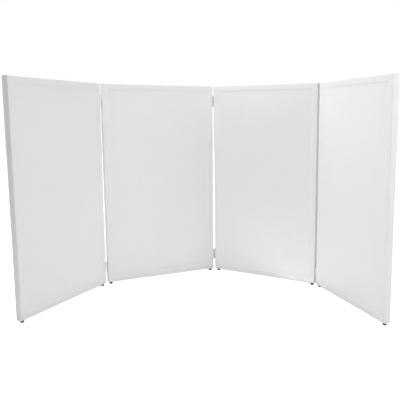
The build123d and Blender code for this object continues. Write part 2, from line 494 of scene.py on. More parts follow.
@dataclass(frozen=True)
class SewingThread(Finish):
    """Spun polyester sewing thread: two plies twisted together, white and slightly silky."""

    title: str = "twisted_polyester_thread"
    crest: str = "#F6F6F4"
    # painted shade: the grooves between the plies are darker to stand in for the shade there
    groove_painted_shade: str = "#DAD9D5"
    ply: float = 0.5 * MM

    def surface(self, tree: bpy.types.NodeTree) -> bpy.types.NodeSocket:
        """Diagonal plies, with painted shade darkening the grooves between them.

        Args:
            tree: the material's node tree, still empty.

        Returns:
            The shader.
        """
        place = add_node(tree, "ShaderNodeTexCoord").outputs["Object"]
        twist = add_node(
            tree, "ShaderNodeTexWave", {"Vector": place, "Scale": WAVE_PERIOD / self.ply},
            bands_direction="DIAGONAL",
        )
        colour = add_node(
            tree, "ShaderNodeMix",
            {0: twist.outputs["Fac"], 6: linear(self.groove_painted_shade), 7: linear(self.crest)},
            data_type="RGBA",
        )
        thread = add_node(
            tree, "ShaderNodeBsdfPrincipled",
            {"Base Color": colour.outputs[2], "Roughness": 0.6, "Sheen Weight": 0.15},
        )
        return thread.outputs["BSDF"]


@dataclass(frozen=True)
class MouldedRubber(Finish):
    """Black moulded rubber: dull, with a pale bloom in patches."""

    title: str = "black_moulded_rubber"
    body: str = "#111112"
    bloom: str = "#262627"
    grain: float = 0.9 * MM
    grain_depth: float = 0.05 * MM
    patch: float = 6 * MM
    smoothest: float = 0.55
    roughest: float = 0.85

    def surface(self, tree: bpy.types.NodeTree) -> bpy.types.NodeSocket:
        """Bloom in patches over a fine moulded grain.

        Args:
            tree: the material's node tree, still empty.

        Returns:
            The shader.
        """
        place = add_node(tree, "ShaderNodeTexCoord").outputs["Object"]
        grain = add_node(
            tree, "ShaderNodeTexNoise", {"Vector": place, "Scale": 1 / self.grain, "Detail": 2.0}
        )
        relief = add_node(
            tree, "ShaderNodeBump",
            {"Height": grain.outputs["Fac"], "Distance": self.grain_depth, "Strength": 0.7},
        )
        patch = add_node(
            tree, "ShaderNodeTexNoise", {"Vector": place, "Scale": 1 / self.patch, "Detail": 4.0}
        )
        spread = add_node(
            tree, "ShaderNodeMapRange",
            {"Value": patch.outputs["Fac"], "From Min": 0.45, "From Max": 0.75, "To Max": 0.7},
        )
        colour = add_node(
            tree, "ShaderNodeMix",
            {0: spread.outputs["Result"], 6: linear(self.body), 7: linear(self.bloom)},
            data_type="RGBA",
        )
        dullness = add_node(
            tree, "ShaderNodeMapRange",
            {"Value": patch.outputs["Fac"], "To Min": self.smoothest, "To Max": self.roughest},
        )
        rubber = add_node(
            tree, "ShaderNodeBsdfPrincipled",
            {
                "Base Color": colour.outputs[2], "Roughness": dullness.outputs["Result"],
                "Normal": relief.outputs["Normal"], "IOR": 1.52,
            },
        )
        return rubber.outputs["BSDF"]


@dataclass(frozen=True)
class BareMetal(Finish):
    """A bare or plated metal with the marks of how it was worked, drawn along one direction.

    Attributes:
        bright: colour of the polished surface.
        dull: colour of the duller patches.
        mark: size of one working mark along X, Y and Z.
        mark_depth: depth of the marks.
        smoothest: roughness of the polished surface.
        roughest: roughness of the duller patches.
    """

    bright: str
    dull: str
    mark: tuple[float, float, float]
    mark_depth: float
    smoothest: float
    roughest: float

    def surface(self, tree: bpy.types.NodeTree) -> bpy.types.NodeSocket:
        """Working marks stretched along their direction, with duller patches.

        Args:
            tree: the material's node tree, still empty.

        Returns:
            The shader.
        """
        place = add_node(tree, "ShaderNodeTexCoord").outputs["Object"]
        drawn = add_node(
            tree, "ShaderNodeMapping",
            {"Vector": place, "Scale": tuple(1 / size for size in self.mark)},
        )
        marks = add_node(
            tree, "ShaderNodeTexNoise",
            {"Vector": drawn.outputs["Vector"], "Scale": 1.0, "Detail": 3.0},
        )
        relief = add_node(
            tree, "ShaderNodeBump",
            {"Height": marks.outputs["Fac"], "Distance": self.mark_depth, "Strength": 0.5},
        )
        colour = add_node(
            tree, "ShaderNodeMix",
            {0: marks.outputs["Fac"], 6: linear(self.bright), 7: linear(self.dull)},
            data_type="RGBA",
        )
        gloss = add_node(
            tree, "ShaderNodeMapRange",
            {"Value": marks.outputs["Fac"], "To Min": self.smoothest, "To Max": self.roughest},
        )
        metal = add_node(
            tree, "ShaderNodeBsdfPrincipled",
            {
                "Base Color": colour.outputs[2], "Roughness": gloss.outputs["Result"],
                "Normal": relief.outputs["Normal"], "Metallic": 1.0,
            },
        )
        return metal.outputs["BSDF"]


@dataclass(frozen=True)
class StudioPaper(Finish):
    """Seamless white background paper on the studio floor: matt, with a faint pulp mottle."""

    title: str = "white_background_paper"
    sheet: str = "#FAFAFA"
    mottle: str = "#F7F7F7"
    mottle_size: float = 0.4
    lift: float = 0.85           # lit from below, but only as the camera sees it

    def surface(self, tree: bpy.types.NodeTree) -> bpy.types.NodeSocket:
        """A nearly even white.

        Args:
            tree: the material's node tree, still empty.

        Returns:
            The shader.
        """
        place = add_node(tree, "ShaderNodeTexCoord").outputs["Object"]
        pulp = add_node(
            tree, "ShaderNodeTexNoise", {"Vector": place, "Scale": 1 / self.mottle_size}
        )
        colour = add_node(
            tree, "ShaderNodeMix",
            {0: pulp.outputs["Fac"], 6: linear(self.sheet), 7: linear(self.mottle)},
            data_type="RGBA",
        )
        seen = add_node(tree, "ShaderNodeLightPath").outputs["Is Camera Ray"]
        lift = add_node(tree, "ShaderNodeMapRange", {"Value": seen, "To Max": self.lift})
        paper = add_node(
            tree, "ShaderNodeBsdfPrincipled",
            {
                "Base Color": colour.outputs[2], "Roughness": 0.95, "Specular IOR Level": 0.0,
                "Emission Color": linear(self.sheet), "Emission Strength": lift.outputs["Result"],
            },
        )
        return paper.outputs["BSDF"]


COAT = PowderCoat()
# Painted light: the hinges get a lighter white than the tubes, so that the knuckles read bright in
# the shaded gap between the panels
HINGE_COAT_PAINTED_LIGHT = PowderCoat("white_powder_coat_painted_lighter", "#FBFBFA", "#F5F5F3", cloud=15 * MM)
HOOK_TAPE = NylonTape(title="woven_nylon_hook_tape", pitch=1.6 * MM, depth=0.5 * MM)
LOOP_TAPE = NylonTape(title="brushed_nylon_loop_tape", pitch=0.8 * MM, depth=0.2 * MM)
THREAD = SewingThread()
RUBBER = MouldedRubber()
# Bright zinc plate is blue-grey and slightly cloudy; drawn steel shows fine lines along the bar;
# turned brass shows short marks round it.
ZINC = BareMetal("zinc_plated_steel", "#C3C7CC", "#A9ADB2", (2 * MM,) * 3, 0.01 * MM, 0.28, 0.45)
PIN_STEEL = BareMetal(
    "drawn_bright_steel", "#CFCFCF", "#B4B5B7", (0.3 * MM, 0.3 * MM, 20 * MM), 0.01 * MM, 0.18, 0.34
)
BRASS = BareMetal(
    "turned_brass", "#D8BC78", "#B8974F", (1.5 * MM, 1.5 * MM, 0.3 * MM), 0.01 * MM, 0.22, 0.4
)
PAPER = StudioPaper()

NODE_FINISHES: dict[str, Finish] = {
    "bottom_rail": COAT,
    "right_stile": COAT,
    "top_rail": COAT,
    "left_stile": COAT,
    "hook_tape": HOOK_TAPE,
    "loop_tape": LOOP_TAPE,
    "foot_screws": ZINC,
    "rivet_nuts": ZINC,
    "pin_knuckles": HINGE_COAT_PAINTED_LIGHT,
    "socket_knuckles": HINGE_COAT_PAINTED_LIGHT,
    "pins": PIN_STEEL,
    "washers": BRASS,
}


# --------------------------------------------------------------------------------------------------
# Panel space
# --------------------------------------------------------------------------------------------------


class Side(Enum):
    """The two upright sides of a panel that may carry hinges."""

    LEFT = "left"
    RIGHT = "right"


@dataclass(frozen=True)
class PanelSpace:
    """A covered panel at rest, and its own space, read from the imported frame.

    In that space x runs along the panel from its left edge, y from the middle of the tube towards
    the back, and z up from the floor.

    Attributes:
        number: the panel's number, from the left.
        origin: left edge of the covered panel on the floor, at the middle of the tube.
        along: unit vector of x.
        back: unit vector of y.
        width: covered panel, edge to edge.
        base: height of its lower edge.
        top: height of its upper edge.
        tube: outside of the square tube.
        cloth: depth left for the cloth between the tube and the covered outline.
        tape: the closed hook and loop tapes together.
    """

    number: int
    origin: Vector
    along: Vector
    back: Vector
    width: float
    base: float
    top: float
    tube: float
    cloth: float
    tape: float = 2.4 * MM

    PANELS: ClassVar[int] = 4
    FOOT_INSET: ClassVar[float] = 20 * MM        # panel's edge to the centre of a foot
    HINGE_INSET: ClassVar[float] = 96 * MM       # panel's end to the middle of a hinge

    @classmethod
    def from_frame(cls, number: int) -> "PanelSpace":
        """Work out a panel's space from its tubes and its turned edge.

        Args:
            number: the panel's number, from the left.

        Returns:
            The panel's space.
        """
        name = f"panel_{number}"
        left = sum(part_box(f"{name}_left_stile"), Vector()) / 2
        right = sum(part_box(f"{name}_right_stile"), Vector()) / 2
        rail_low, rail_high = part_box(f"{name}_bottom_rail")
        hem_low, hem_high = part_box(f"{name}_scrim_hem")
        tube = rail_high.z - rail_low.z
        cloth = rail_low.z - hem_low.z
        along = (right - left).normalized()
        along.z = 0.0
        edge = tube / 2 + cloth
        origin = left - along * edge
        origin.z = 0.0
        return cls(
            number=number,
            origin=origin,
            along=along,
            back=Vector((-along.y, along.x, 0.0)),
            width=(right - left).length + 2 * edge,
            base=hem_low.z,
            top=hem_high.z,
            tube=tube,
            cloth=cloth,
        )

    @property
    def body(self) -> str:
        """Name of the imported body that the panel's pieces ride on."""
        return f"panel_{self.number}"

    @property
    def front(self) -> float:
        """Y of the cloth's front face."""
        return -(self.tube / 2 + self.cloth)

    @property
    def rear(self) -> float:
        """Y of the back face of the turned edge."""
        return self.tube / 2 + self.tape + self.cloth

    @property
    def height(self) -> float:
        """Height of the covered panel."""
        return self.top - self.base

    @property
    def foot_places(self) -> tuple[float, float]:
        """Distances of the two feet along the lower edge."""
        return self.FOOT_INSET, self.width - self.FOOT_INSET

    @property
    def hinge_heights(self) -> tuple[float, float]:
        """Heights of the two hinges of a side above the panel's lower edge."""
        return self.HINGE_INSET, self.height - self.HINGE_INSET

    @property
    def hinged(self) -> tuple[Side, ...]:
        """Sides that carry hinges.

        Returns:
            The left one, the right one or both.
        """
        sides = []
        if self.number > 1:
            sides.append(Side.LEFT)
        if self.number < self.PANELS:
            sides.append(Side.RIGHT)
        return tuple(sides)

    def at(self, x: float, y: float, z: float) -> Vector:
        """Turn a point of the panel's space into a point of the row frame."""
        return self.origin + self.along * x + self.back * y + Vector((0.0, 0.0, z))

    def turned(self, x: float, y: float, z: float) -> Vector:
        """Turn a direction of the panel's space into one of the row frame."""
        return self.along * x + self.back * y + Vector((0.0, 0.0, z))


# --------------------------------------------------------------------------------------------------
# Rows of small grains: stitches, overlocking and weld beads
# --------------------------------------------------------------------------------------------------


@dataclass(frozen=True)
class GrainRow:
    """How one kind of small grain repeats along its rows.

    Attributes:
        pitch: distance from one grain to the next.
        length: grain along the row.
        width: grain across the row.
        height: grain out of the surface.
        slant: turn of the grain about the surface's normal, in radians.
        jitter: largest random turn, in radians.
        roundness: subdivisions of the grain.
        seed: seed of the random turn.
    """

    pitch: float
    length: float
    width: float
    height: float
    slant: float = 0.0
    jitter: float = 0.06
    roundness: int = 1
    seed: int = 7

    TREE_NAME: ClassVar[str] = "grain_rows"
    FACING: ClassVar[str] = "facing"

    @classmethod
    def tree(cls) -> bpy.types.NodeTree:
        """Build the geometry tree once: rows are resampled, and a grain stands on every point.

        Returns:
            The tree, shared by all rows.
        """
        found = bpy.data.node_groups.get(cls.TREE_NAME)
        if found is not None:
            return found
        tree = bpy.data.node_groups.new(cls.TREE_NAME, "GeometryNodeTree")
        face = tree.interface
        face.new_socket("Rows", in_out="INPUT", socket_type="NodeSocketGeometry")
        for name in ("Pitch", "Length", "Width", "Height", "Slant", "Jitter"):
            face.new_socket(name, in_out="INPUT", socket_type="NodeSocketFloat")
        for name in ("Roundness", "Seed"):
            face.new_socket(name, in_out="INPUT", socket_type="NodeSocketInt")
        face.new_socket("Finish", in_out="INPUT", socket_type="NodeSocketMaterial")
        face.new_socket("Grains", in_out="OUTPUT", socket_type="NodeSocketGeometry")

        given = add_node(tree, "NodeGroupInput").outputs
        curves = add_node(tree, "GeometryNodeMeshToCurve", {"Mesh": given["Rows"]})
        places = add_node(
            tree, "GeometryNodeResampleCurve",
            {"Curve": curves.outputs["Curve"], "Length": given["Pitch"]}, mode="LENGTH",
        )
        tangent = add_node(tree, "GeometryNodeInputTangent")
        facing = add_node(
            tree, "GeometryNodeInputNamedAttribute", {"Name": cls.FACING},
            data_type="FLOAT_VECTOR",
        )
        lengthwise = add_node(
            tree, "FunctionNodeAlignRotationToVector", {"Vector": tangent.outputs[0]}, axis="X"
        )
        upright = add_node(
            tree, "FunctionNodeAlignRotationToVector",
            {"Rotation": lengthwise.outputs[0], "Vector": facing.outputs[0]},
            axis="Z", pivot_axis="X",
        )
        least = add_node(
            tree, "ShaderNodeMath", {0: given["Slant"], 1: given["Jitter"]}, operation="SUBTRACT"
        )
        most = add_node(
            tree, "ShaderNodeMath", {0: given["Slant"], 1: given["Jitter"]}, operation="ADD"
        )
        angle = add_node(
            tree, "FunctionNodeRandomValue",
            {2: least.outputs[0], 3: most.outputs[0], "Seed": given["Seed"]}, data_type="FLOAT",
        )
        turn = add_node(
            tree, "FunctionNodeAxisAngleToRotation",
            {"Axis": (0.0, 0.0, 1.0), "Angle": angle.outputs[1]},
        )
        pose = add_node(
            tree, "FunctionNodeRotateRotation",
            {0: upright.outputs[0], 1: turn.outputs[0]}, rotation_space="LOCAL",
        )
        size = add_node(
            tree, "ShaderNodeCombineXYZ",
            {"X": given["Length"], "Y": given["Width"], "Z": given["Height"]},
        )
        grain = add_node(
            tree, "GeometryNodeMeshIcoSphere", {"Radius": 0.5, "Subdivisions": given["Roundness"]}
        )
        copies = add_node(
            tree, "GeometryNodeInstanceOnPoints",
            {
                "Points": places.outputs["Curve"], "Instance": grain.outputs["Mesh"],
                "Rotation": pose.outputs[0], "Scale": size.outputs["Vector"],
            },
        )
        real = add_node(
            tree, "GeometryNodeRealizeInstances", {"Geometry": copies.outputs["Instances"]}
        )
        soft = add_node(
            tree, "GeometryNodeSetShadeSmooth", {"Geometry": real.outputs["Geometry"]}
        )
        painted = add_node(
            tree, "GeometryNodeSetMaterial",
            {"Geometry": soft.outputs["Geometry"], "Material": given["Finish"]},
        )
        add_node(tree, "NodeGroupOutput", {"Grains": painted.outputs["Geometry"]})
        return tree

    def lay(self, name: str, rows: "RowPaths", finish: Finish) -> bpy.types.Object:
        """Lay grains along rows as one plain mesh.

        Args:
            name: name of the finished piece.
            rows: the lines that the grains follow, and what they face.
            finish: finish of the grains.

        Returns:
            The finished piece, riding on nothing yet.
        """
        draft = new_object(f"{name}_rows", rows.mesh(name, self.FACING))
        tree = self.tree()
        modifier = draft.modifiers.new("grains", "NODES")
        modifier.node_group = tree
        values = {
            "Pitch": self.pitch, "Length": self.length, "Width": self.width,
            "Height": self.height, "Slant": self.slant, "Jitter": self.jitter,
            "Roundness": self.roundness, "Seed": self.seed, "Finish": finish.material(),
        }
        for socket in tree.interface.items_tree:
            if socket.name in values:
                modifier[socket.identifier] = values[socket.name]
        return finished_mesh(draft, name)


class RowPaths:
    """Lines in the row frame, each with the direction that its grains face."""

    def __init__(self) -> None:
        """Start with no lines."""
        self.points: list[Vector] = []
        self.facings: list[Vector] = []
        self.edges: list[tuple[int, int]] = []

    def add(self, line: list[Vector], facing: Vector, closed: bool = False) -> None:
        """Add a line.

        Args:
            line: its points, in order.
            facing: the way out of the surface that it lies on.
            closed: whether its end joins its start.
        """
        first = len(self.points)
        self.points += line
        self.facings += [facing] * len(line)
        self.edges += [(first + i, first + i + 1) for i in range(len(line) - 1)]
        if closed:
            self.edges.append((first + len(line) - 1, first))

    def join(self, more: "RowPaths") -> None:
        """Add the lines of another set of rows.

        Args:
            more: the other rows.
        """
        first = len(self.points)
        self.points += more.points
        self.facings += more.facings
        self.edges += [(first + start, first + end) for start, end in more.edges]

    def mesh(self, name: str, attribute: str) -> bpy.types.Mesh:
        """Return the lines as a mesh of edges that carries the facings as an attribute.

        Args:
            name: name of the piece that the rows are for.
            attribute: name of the attribute.

        Returns:
            The mesh.
        """
        mesh = bpy.data.meshes.new(f"{name}_rows")
        mesh.from_pydata(self.points, self.edges, [])
        layer = mesh.attributes.new(attribute, "FLOAT_VECTOR", "POINT")
        layer.data.foreach_set("vector", [c for facing in self.facings for c in facing])
        return mesh


# --------------------------------------------------------------------------------------------------
# Scrim cover
# --------------------------------------------------------------------------------------------------


@dataclass(frozen=True)
class Pull:
    """A shallow fold where the cloth was pulled over the top rail.

    Attributes:
        x: distance from the panel's left edge, at the top.
        lean: how far it drifts to the right for each metre down.
        length: how far down it fades out.
        breadth: half its width.
        height: how far it stands out.
    """

    x: float
    lean: float
    length: float
    breadth: float
    height: float

    def rise(self, x: float, drop: float) -> float:
        """How far the cloth stands out at x, a given drop below the top edge.

        Args:
            x: distance from the panel's left edge.
            drop: distance below the top edge.

        Returns:
            The rise.
        """
        offset = (x - self.x - self.lean * drop) / self.breadth
        fade = smooth_step(1 - drop / self.length)
        return self.height * fade * math.exp(-offset * offset)


class Strip(Enum):
    """The parts of a cover that lie flat in one piece before it is turned round the tubes."""

    FRONT = "front"
    LOW = "low"
    HIGH = "high"
    LEFT = "left"
    RIGHT = "right"


@dataclass
class ScrimCover:
    """One panel's stretched cover: a single cloth, turned round the tubes and closed behind.

    Attributes:
        space: the panel that it covers.
        pulls: its folds under the top edge.
        thickness: the cloth itself.
        edge_radius: cloth round the front and back edges of the tube.
        corner_radius: cloth round the panel's four corners.
        hem: width of the edge behind the tube.
        sink: how far the free cloth lies behind the cloth on the tube.
        tube_edge: distance from the panel's edge to where the cloth leaves the tube.
        settle: width over which it sinks.
        sway: unevenness of the free cloth.
        pucker: unevenness of the turned edge.
        foot_opening: radius of the hole round a foot.
        foot_patch: half the length of the patch of faces round that hole.
        window_length: opening round a hinge.
        window_half: half its width.
        step: largest spacing of the mesh.
    """

    space: PanelSpace
    pulls: tuple[Pull, ...] = ()
    thickness: float = 0.7 * MM
    edge_radius: float = 3.8 * MM
    corner_radius: float = 2.4 * MM
    hem: float = 28 * MM
    sink: float = 2.0 * MM
    tube_edge: float = 30 * MM
    settle: float = 8 * MM
    sway: float = 0.5 * MM
    pucker: float = 0.25 * MM
    foot_opening: float = 12.7 * MM
    foot_patch: float = 14 * MM
    window_length: float = 76.5 * MM
    window_half: float = 6.5 * MM
    step: float = 9 * MM

    UV_NAME: ClassVar[str] = "weave"
    PLACE_NAME: ClassVar[str] = "place"  # each vertex's x, z and turn, until the UV map is made
    BEHIND: ClassVar[float] = -1.0       # marks a vertex of the back strips
    SPARE: ClassVar[float] = 0.01        # share of a step by which a gap may pass it
    ARC_STEPS: ClassVar[int] = 5
    CORNER_STEPS: ClassVar[int] = 4
    SIDE_ROWS: ClassVar[int] = 4         # rows each side of the middle of a turned side
    TUCK: ClassVar[float] = 0.5 * MM     # rail edge folded over the stile edge at a back corner
    TUCK_REACH: ClassVar[float] = 60 * MM
    # Grid lines across a foot's patch and across the step beside the tube, as shares of each
    FOOT_LINES: ClassVar[tuple[float, ...]] = (-1, -0.75, -0.5, -0.25, 0, 0.25, 0.8, 1)
    SETTLE_LINES: ClassVar[tuple[float, ...]] = (0.55, 0.8, 1.2)
    SWAY_SIZE: ClassVar[tuple[float, float]] = (0.25, 0.4)      # across and up, in metres
    PUCKER_SIZE: ClassVar[float] = 30 * MM
    SWAY_OFFSET: ClassVar[float] = 3.1           # between one panel's noise and the next one's
    PUCKER_OFFSET: ClassVar[float] = 5.7
    SHARP: ClassVar[float] = math.radians(50)    # a fold that turns more is shaded sharp
    # Cut a little smaller than it is stretched to, and notched at the corners
    STRETCH: ClassVar[float] = 1.06

    def stations(self, length: float, with_windows: bool) -> list[float]:
        """Grid lines along a side, closest where the cloth turns, is cut or leaves the tube.

        Args:
            length: length of the side.
            with_windows: whether the openings round the hinges need lines.

        Returns:
            Distances from one end, in order.
        """
        near = [self.edge_radius, self.hem]
        foot = self.space.FOOT_INSET
        near += [foot + self.foot_patch * share for share in self.FOOT_LINES]
        near += [self.tube_edge + self.settle * share for share in self.SETTLE_LINES]
        if with_windows:
            half = self.window_length / 2
            near += [self.space.HINGE_INSET - half, self.space.HINGE_INSET + half]
        fixed = sorted(near + [length - station for station in near])
        lines = [fixed[0]]
        for station in fixed[1:]:
            gap = station - lines[-1]
            parts = max(1, math.ceil(gap / self.step - self.SPARE))
            start = lines[-1]
            lines += [start + gap * part / parts for part in range(1, parts + 1)]
        return lines

    def profile(self) -> list[tuple[float, float]]:
        """Section of the turned edge from the front to the back face, as inset and y.

        Returns:
            Its points, from where the front face begins to turn.
        """
        front, rear, radius = self.space.front, self.space.rear, self.edge_radius
        turns = [math.pi / 2 * i / self.ARC_STEPS for i in range(self.ARC_STEPS + 1)]
        rows = [(radius * (1 - math.sin(t)), front + radius * (1 - math.cos(t))) for t in turns]
        reach = -(front + radius)
        step = reach / self.SIDE_ROWS
        rows += [(0.0, step * i) for i in range(-self.SIDE_ROWS + 1, self.SIDE_ROWS + 1)]
        rows += [(radius * (1 - math.cos(t)), rear - radius * (1 - math.sin(t))) for t in turns]
        return rows

    def relief(self, x: float, z: float) -> float:
        """How far the front cloth lies behind its flat front plane.

        Args:
            x: distance from the panel's left edge.
            z: height above the panel's lower edge.

        Returns:
            The depth, positive towards the back.
        """
        space = self.space
        inset = min(x, space.width - x, z, space.height - z)
        free = smooth_step((inset - self.tube_edge) / self.settle)
        across, up = self.SWAY_SIZE
        spot = Vector((x / across, z / up, space.number * self.SWAY_OFFSET))
        depth = free * (self.sink + self.sway * noise.noise(spot))
        on_tube = smooth_step((inset - self.edge_radius) / (3 * self.edge_radius))
        drop = space.height - z
        depth -= on_tube * sum(pull.rise(x, drop) for pull in self.pulls)
        return depth

    def hem_relief(self, x: float, z: float) -> float:
        """How far the back of the turned edge stands out, with the rails' ends tucked over.

        Args:
            x: distance from the panel's left edge.
            z: height above its lower edge.

        Returns:
            The rise, positive towards the back.
        """
        space = self.space
        size = self.PUCKER_SIZE
        spot = Vector((x / size, z / size, space.number * self.PUCKER_OFFSET))
        lift = self.pucker * (0.5 + noise.noise(spot))
        across = min(z, space.height - z)
        beside = min(x, space.width - x)
        if across < beside - WELD_DISTANCE and beside < self.TUCK_REACH:
            past = (beside - self.hem) / (self.TUCK_REACH - self.hem)
            lift += self.TUCK * smooth_step(1 - past)
        return lift

    def ring(self, inset: float, xs: list[float], zs: list[float]) -> list[tuple[float, float]]:
        """One closed loop round the panel at a given inset, as x and z above the lower edge.

        Args:
            inset: distance from the panel's edge.
            xs: grid lines across the panel.
            zs: grid lines up the panel.

        Returns:
            The loop's points, from the lower left corner along the lower edge.
        """
        width, height = self.space.width, self.space.height
        centre = max(self.corner_radius, inset)
        radius = centre - inset
        sides = (
            [(x, inset) for x in xs],
            [(width - inset, z) for z in zs],
            [(x, height - inset) for x in reversed(xs)],
            [(inset, z) for z in reversed(zs)],
        )
        corners = ((width, 0.0), (width, height), (0.0, height), (0.0, 0.0))
        loop = []
        for index, (side, (corner_x, corner_z)) in enumerate(zip(sides, corners)):
            loop += side
            middle_x = abs(corner_x - centre)
            middle_z = abs(corner_z - centre)
            for step in range(self.CORNER_STEPS + 1):
                angle = math.pi / 2 * (index - 1 + step / self.CORNER_STEPS)
                across, up = radius * math.cos(angle), radius * math.sin(angle)
                loop.append((middle_x + across, middle_z + up))
        return loop

    def build(self) -> bpy.types.Object:
        """Build the cloth as one closed sheet of its real thickness.

        Returns:
            The cover, riding on nothing yet.
        """
        space = self.space
        xs = self.stations(space.width, with_windows=False)
        zs = self.stations(space.height, with_windows=True)
        mesh = bmesh.new()
        kept = mesh.verts.layers.float_vector.new(self.PLACE_NAME)

        def vertex(x: float, y: float, z: float, run: float) -> bmesh.types.BMVert:
            """Add a vertex that remembers its x, its z and how far the cloth has turned.

            Args:
                x: distance from the panel's left edge.
                y: distance from the middle of the tube.
                z: height above the panel's lower edge.
                run: cloth from the front face's edge line to here, or BEHIND.

            Returns:
                The vertex.
            """
            made = mesh.verts.new(space.at(x, y, space.base + z))
            made[kept] = (x, z, run)
            return made

        front = [
            [vertex(x, space.front + self.relief(x, z), z, 0.0) for x in xs] for z in zs
        ]
        for low, high in zip(front, front[1:]):
            for i in range(len(xs) - 1):
                mesh.faces.new((low[i], low[i + 1], high[i + 1], high[i]))
        self.add_back(mesh, vertex, xs, zs)
        self.add_sides(mesh, vertex, xs, zs)
        bmesh.ops.remove_doubles(mesh, verts=mesh.verts[:], dist=WELD_DISTANCE)
        bmesh.ops.recalc_face_normals(mesh, faces=mesh.faces[:])
        weave = mesh.loops.layers.uv.new(self.UV_NAME)
        for face in mesh.faces:
            face.smooth = True
            places = [loop.vert[kept] for loop in face.loops]
            strip = self.strip_of(places)
            for loop, place in zip(face.loops, places):
                loop[weave].uv = self.laid_flat(place, strip)
        name = f"{space.body}_scrim_cover"
        draft = object_from(f"{name}_draft", mesh)
        draft.data.attributes.remove(draft.data.attributes[self.PLACE_NAME])
        self.face_outwards(draft)
        shell = draft.modifiers.new("thickness", "SOLIDIFY")
        shell.thickness = self.thickness
        shell.offset = -1.0
        shell.use_even_offset = True
        cover = finished_mesh(draft, name)
        cover.data.set_sharp_from_angle(angle=self.SHARP)
        finish = StretchScrim(
            width=space.width, height=space.height,
            tube_edge=self.tube_edge, settle=self.settle,
        )
        dress(cover, finish)
        return cover

    def face_outwards(self, draft: bpy.types.Object) -> None:
        """Turn the sheet round if its front faces the back.

        Args:
            draft: the sheet, without its thickness.
        """
        low, high = self.space.front - self.edge_radius, self.space.front + self.edge_radius
        fronts = [
            polygon for polygon in draft.data.polygons
            if low < (polygon.center - self.space.origin).dot(self.space.back) < high
        ]
        if sum(polygon.normal.dot(self.space.back) * polygon.area for polygon in fronts) > 0:
            draft.data.flip_normals()

    def add_back(
        self, mesh: bmesh.types.BMesh, vertex: VertexMaker, xs: list[float], zs: list[float]
    ) -> None:
        """Add the four strips behind the tubes, joined at their mitred corners.

        Args:
            mesh: the sheet being built.
            vertex: function that adds one vertex.
            xs: grid lines across the panel.
            zs: grid lines up the panel.
        """
        space = self.space
        rows = {}

        def back_vertex(i: int, j: int) -> bmesh.types.BMVert:
            """Add the back vertex at a crossing of two grid lines, unless it is there.

            Args:
                i: number of the line across.
                j: number of the line up.

            Returns:
                The vertex.
            """
            if (i, j) not in rows:
                x, z = xs[i], zs[j]
                inset = min(x, space.width - x, z, space.height - z)
                at_turn = inset <= self.edge_radius + WELD_DISTANCE
                lift = 0.0 if at_turn else self.hem_relief(x, z)
                rows[i, j] = vertex(x, space.rear + lift, z, self.BEHIND)
            return rows[i, j]

        for i in range(len(xs) - 1):
            for j in range(len(zs) - 1):
                x = (xs[i] + xs[i + 1]) / 2
                z = (zs[j] + zs[j + 1]) / 2
                if min(x, space.width - x, z, space.height - z) > self.hem:
                    continue
                quad = [(i, j), (i, j + 1), (i + 1, j + 1), (i + 1, j)]
                beside, across = min(x, space.width - x), min(z, space.height - z)
                if abs(beside - across) > WELD_DISTANCE:
                    mesh.faces.new([back_vertex(*corner) for corner in quad])
                    continue
                # On a mitre, so it is split along the fold
                if (x < space.width / 2) != (z < space.height / 2):
                    quad = quad[1:] + quad[:1]
                for half in (quad[:3], [quad[0], *quad[2:]]):
                    mesh.faces.new([back_vertex(*corner) for corner in half])

    def turned_length(self) -> float:
        """Length of cloth from the front face's edge line to the back face's edge line."""
        flat = self.space.rear - self.space.front - 2 * self.edge_radius
        return flat + math.pi * self.edge_radius

    def strip_of(self, places: list[Vector]) -> Strip:
        """Which strip a face belongs to, from its vertices' x, z and turn.

        Args:
            places: x, z and turn of each vertex.

        Returns:
            The strip.
        """
        if all(place.z == 0.0 for place in places):
            return Strip.FRONT
        middle = sum(places, Vector()) / len(places)
        insets = {
            Strip.LOW: middle.y,
            Strip.HIGH: self.space.height - middle.y,
            Strip.LEFT: middle.x,
            Strip.RIGHT: self.space.width - middle.x,
        }
        return min(insets, key=lambda strip: insets[strip])

    def laid_flat(self, place: Vector, strip: Strip) -> tuple[float, float]:
        """Where a vertex lies when the cloth is laid flat.

        Args:
            place: its x, its z and how far the cloth has turned there.
            strip: the strip of the face that asks.

        Returns:
            X and z on the flat cloth.
        """
        x, z, run = place
        if strip is Strip.FRONT:
            return x, z
        width, height, edge = self.space.width, self.space.height, self.edge_radius
        insets = {
            Strip.LOW: z, Strip.HIGH: height - z, Strip.LEFT: x, Strip.RIGHT: width - x,
        }
        over = self.turned_length() + insets[strip] - edge if run < 0 else run
        return {
            Strip.LOW: (x, edge - over),
            Strip.HIGH: (x, height - edge + over),
            Strip.LEFT: (edge - over, z),
            Strip.RIGHT: (width - edge + over, z),
        }[strip]

    def add_sides(
        self, mesh: bmesh.types.BMesh, vertex: VertexMaker, xs: list[float], zs: list[float]
    ) -> None:
        """Add the turned sides as loops round the panel, open at the feet and the hinges.

        Args:
            mesh: the sheet being built.
            vertex: function that adds one vertex.
            xs: grid lines across the panel.
            zs: grid lines up the panel.
        """
        space = self.space
        profile = self.profile()
        rings = []
        run = 0.0
        for index, (inset, y) in enumerate(profile):
            if index:
                run += math.dist(profile[index - 1], profile[index])
            loop = self.ring(inset, xs, zs)
            rings.append([vertex(x, y, z, run) for x, z in loop])
        places = self.ring(0.0, xs, zs)
        count = len(places)
        heights = [y for _, y in profile]
        for row in range(len(rings) - 1):
            for i in range(count):
                j = (i + 1) % count
                x = (places[i][0] + places[j][0]) / 2
                z = (places[i][1] + places[j][1]) / 2
                y = (heights[row] + heights[row + 1]) / 2
                if self.in_window(x, y, z) or self.in_foot_patch(x, y, z):
                    continue
                quad = (rings[row][i], rings[row][j], rings[row + 1][j], rings[row + 1][i])
                mesh.faces.new(quad)
        self.add_foot_patches(mesh, vertex, rings, places, heights)

